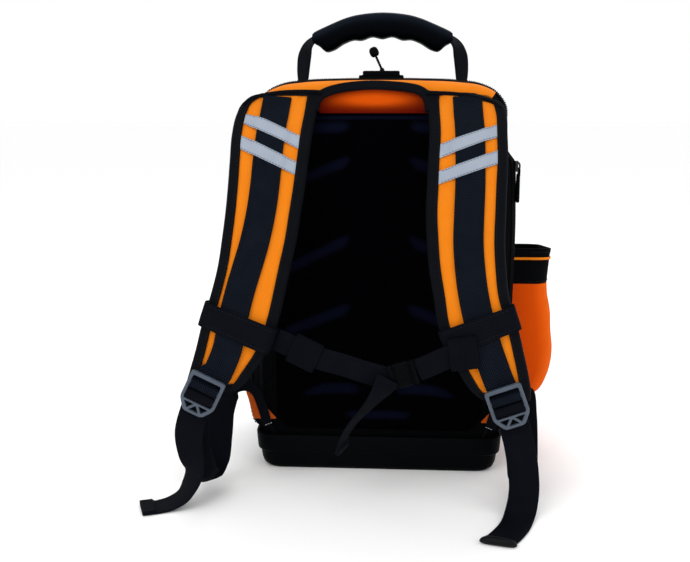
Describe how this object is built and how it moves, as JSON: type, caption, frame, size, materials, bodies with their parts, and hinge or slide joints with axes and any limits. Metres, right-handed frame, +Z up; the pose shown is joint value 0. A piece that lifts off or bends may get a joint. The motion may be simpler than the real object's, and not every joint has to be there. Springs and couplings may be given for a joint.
{
  "type": "tool backpack",
  "caption": "Upright tool backpack with a moulded base tub, ribbed back pad, padded shoulder straps with ladder locks, sternum strap, carry handle, side pocket and a zip round the top.",
  "frame": {"origin": "on the floor, under the middle of the body's width and just behind the middle of its depth", "axes": "+Z up, -Y towards the wearer's side with the shoulder straps, +X towards the side pocket"},
  "size_m": [0.4732, 0.3963, 0.5461],
  "materials": {
    "moulded_black": "satin grain",
    "body_fabric": "coarse woven",
    "deep_orange_fabric": "woven",
    "back_mesh": "moulded air mesh",
    "slider_metal": "black satin",
    "orange_fabric": "woven",
    "webbing": "ribbed webbing",
    "reflective_tape": "reflective",
    "lock_grey": "satin"
  },
  "bodies": {
    "bag": {"base_tub": "moulded_black", "sternum_buckle": "moulded_black", "grip": "moulded_black", "top_clip": "moulded_black", "pull_toggle": "moulded_black", "gusset": "body_fabric", "back_panel": "body_fabric", "front_panel": "body_fabric", "piping_back": "body_fabric", "piping_front": "body_fabric", "zip_tape": "body_fabric", "pocket_band": "body_fabric", "upper_back": "deep_orange_fabric", "pocket_pouch": "deep_orange_fabric", "back_pad": "back_mesh", "zip_slider": "slider_metal", "pocket_trim": "orange_fabric", "yoke": "orange_fabric", "wing_left": "orange_fabric", "wing_right": "orange_fabric", "pad_left": "orange_fabric", "pad_right": "orange_fabric", "arch_binding": "webbing", "binding_left": "webbing", "binding_right": "webbing", "webbing_left": "webbing", "webbing_right": "webbing", "cross_band_left": "webbing", "cross_band_right": "webbing", "adjuster_left": "webbing", "adjuster_right": "webbing", "sternum_left": "webbing", "sternum_keeper": "webbing", "sternum_right": "webbing", "sternum_tail": "webbing", "handle_leg_left": "webbing", "handle_leg_right": "webbing", "reflector_left_upper": "reflective_tape", "reflector_left_lower": "reflective_tape", "reflector_right_upper": "reflective_tape", "reflector_right_lower": "reflective_tape", "lock_left": "lock_grey", "lock_right": "lock_grey"},
    "zip_pull": {"zip_pull": "moulded_black"}
  },
  "joints": [
    {"name": "zip_pull_swing", "type": "hinge", "parent": "bag", "child": "zip_pull", "pos_m": [0.16118, -0.077, 0.36445], "axis": [0, -1, 0], "range_deg": [0, 150]}
  ]
}
